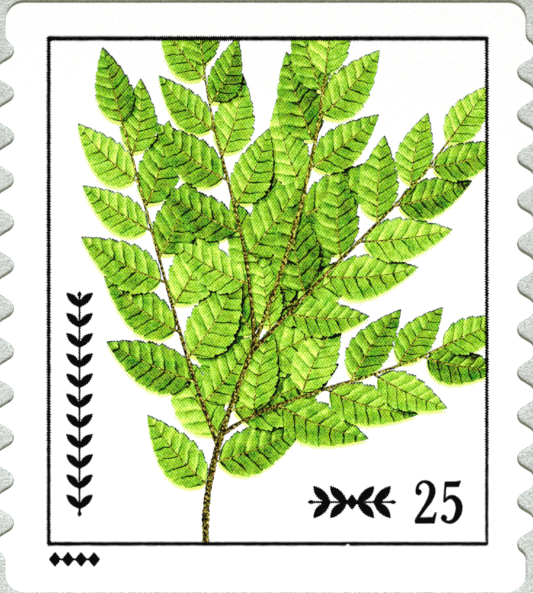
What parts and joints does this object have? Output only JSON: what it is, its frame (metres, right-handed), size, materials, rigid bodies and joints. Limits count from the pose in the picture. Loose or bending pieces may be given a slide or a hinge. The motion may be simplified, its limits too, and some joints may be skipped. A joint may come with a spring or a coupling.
{
  "type": "postage stamp",
  "caption": "Self-adhesive postage stamp with wavy die-cut sides, a framed picture of a leafy twig and a plain value, on a piece of its backing paper.",
  "frame": {"origin": "middle of the backing paper's underside", "axes": "+X to the right of the upright stamp, +Y to its top, +Z out of its printed face"},
  "size_m": [0.0254, 0.027, 0.0002],
  "materials": {
    "liner": "satin",
    "adhesive": "satin",
    "face_paper": "matte",
    "green_ink": "satin",
    "dark_green_ink": "satin",
    "brown_ink": "satin",
    "black_ink": "satin"
  },
  "bodies": {
    "root": {"liner": "liner", "adhesive": "adhesive", "face_paper": "face_paper", "ink_leaves": "green_ink", "ink_leaf_shade": "dark_green_ink", "ink_twig": "brown_ink", "ink_border": "black_ink", "ink_numeral_tens": "black_ink", "ink_numeral_units": "black_ink", "ink_side_ornament": "black_ink", "ink_value_ornament": "black_ink", "ink_margin_ornament": "black_ink"}
  },
  "joints": []
}
